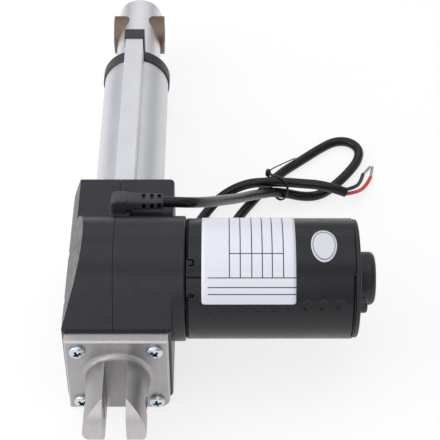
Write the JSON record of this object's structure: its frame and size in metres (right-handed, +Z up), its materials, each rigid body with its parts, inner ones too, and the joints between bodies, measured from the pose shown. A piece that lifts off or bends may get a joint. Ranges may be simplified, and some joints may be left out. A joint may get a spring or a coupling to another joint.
{
  "type": "electric linear actuator",
  "caption": "Electric linear actuator: a motor set across a black gear housing turns a screw that slides a round rod out of a railed tube, with a rear clevis and a pin bush.",
  "frame": {"origin": "centre of the rear clevis's pin bore, midway between its ears", "axes": "+X along the pin towards the motor's free end, +Y along the stroke towards the rod's end, +Z up, towards the tube's rail"},
  "size_m": [0.157, 0.3068, 0.076],
  "materials": {
    "clevis_aluminium": "satin, machined, slightly warm grey",
    "zinc_steel": "bright zinc plate, bluish",
    "housing_black": "moulded, fine grain",
    "bearing_steel": "ground and polished",
    "tube_aluminium": "extruded, satin anodised",
    "cap_black": "moulded",
    "seal_rubber": "smooth",
    "guide_plastic": "natural, waxy",
    "board_green": "lacquered board",
    "rod_aluminium": "drawn, satin anodised",
    "bush_bronze": "turned, dull brown",
    "nut_plastic": "moulded",
    "screw_steel": "rolled and oiled",
    "wheel_bronze": "hobbed",
    "motor_black": "satin black coat",
    "plate_zinc": "plated sheet",
    "end_cap_black": "satin black coat",
    "dark_steel": "black oxide",
    "magnet_ferrite": "pressed, matt",
    "core_steel": "stacked sheets",
    "winding_copper": "enamelled wire",
    "commutator_copper": "turned",
    "brush_carbon": "pressed carbon",
    "label_white": "coated, slightly glossy",
    "elbow_rubber": "moulded",
    "cable_black": "smooth sheath",
    "core_red": "smooth insulation",
    "core_black": "smooth insulation",
    "tinned_wire": "tinned strands",
    "tie_black": "coated wire"
  },
  "bodies": {
    "base": {"rear_clevis": "clevis_aluminium", "clevis_screws": "zinc_steel", "gear_housing_left": "housing_black", "gear_housing_right": "housing_black", "housing_screws": "zinc_steel", "rear_bearing_outer": "bearing_steel", "rear_bearing_balls": "bearing_steel", "front_bearing_outer": "bearing_steel", "front_bearing_balls": "bearing_steel", "outer_tube": "tube_aluminium", "tube_end_cap": "cap_black", "rod_wiper": "seal_rubber", "rod_guide_bush": "guide_plastic", "limit_switch_board": "board_green", "limit_switches": "cap_black", "worm_end_bush": "bush_bronze", "motor_can": "motor_black", "motor_front_plate": "plate_zinc", "motor_front_bearing_outer": "bearing_steel", "motor_front_bearing_balls": "bearing_steel", "motor_end_cap": "end_cap_black", "motor_rear_bush": "bush_bronze", "motor_bolts": "dark_steel", "motor_magnets": "magnet_ferrite", "carbon_brushes": "brush_carbon", "brush_holder": "guide_plastic", "rating_label": "label_white", "oval_sticker": "label_white", "cable_elbow": "elbow_rubber", "cable_sheath": "cable_black", "core_red": "core_red", "core_black": "core_black", "core_tips": "tinned_wire", "cable_tie": "tie_black"},
    "rod": {"piston_rod": "rod_aluminium", "front_bush": "bush_bronze", "rod_end_plug": "rod_aluminium", "drive_nut": "nut_plastic", "nut_pins": "bearing_steel", "switch_trigger": "nut_plastic"},
    "screw": {"lead_screw": "screw_steel", "screw_tip_guide": "guide_plastic", "screw_lock_nut": "zinc_steel", "worm_wheel": "wheel_bronze", "wheel_key": "screw_steel", "rear_bearing_inner": "bearing_steel", "front_bearing_inner": "bearing_steel"},
    "rotor": {"motor_shaft": "screw_steel", "worm": "screw_steel", "armature_core": "core_steel", "armature_winding": "winding_copper", "commutator": "commutator_copper", "motor_front_bearing_inner": "bearing_steel"}
  },
  "joints": [
    {"name": "rotor_spin", "type": "hinge", "parent": "base", "child": "rotor", "pos_m": [0, 0.059, 0.022], "axis": [1, 0, 0], "range_deg": [0, 306000]},
    {"name": "screw_spin", "type": "hinge", "parent": "base", "child": "screw", "pos_m": [0, 0, 0], "axis": [0, 1, 0], "range_deg": [-9000, 0]},
    {"name": "rod_slide", "type": "slide", "parent": "base", "child": "rod", "axis": [0, 1, 0], "range_m": [0, 0.1]}
  ],
  "couplings": [
    {"joint": "screw_spin", "follows": "rotor_spin", "ratio": -0.029412},
    {"joint": "rod_slide", "follows": "rotor_spin", "m_per_rad": 0.000018724}
  ]
}
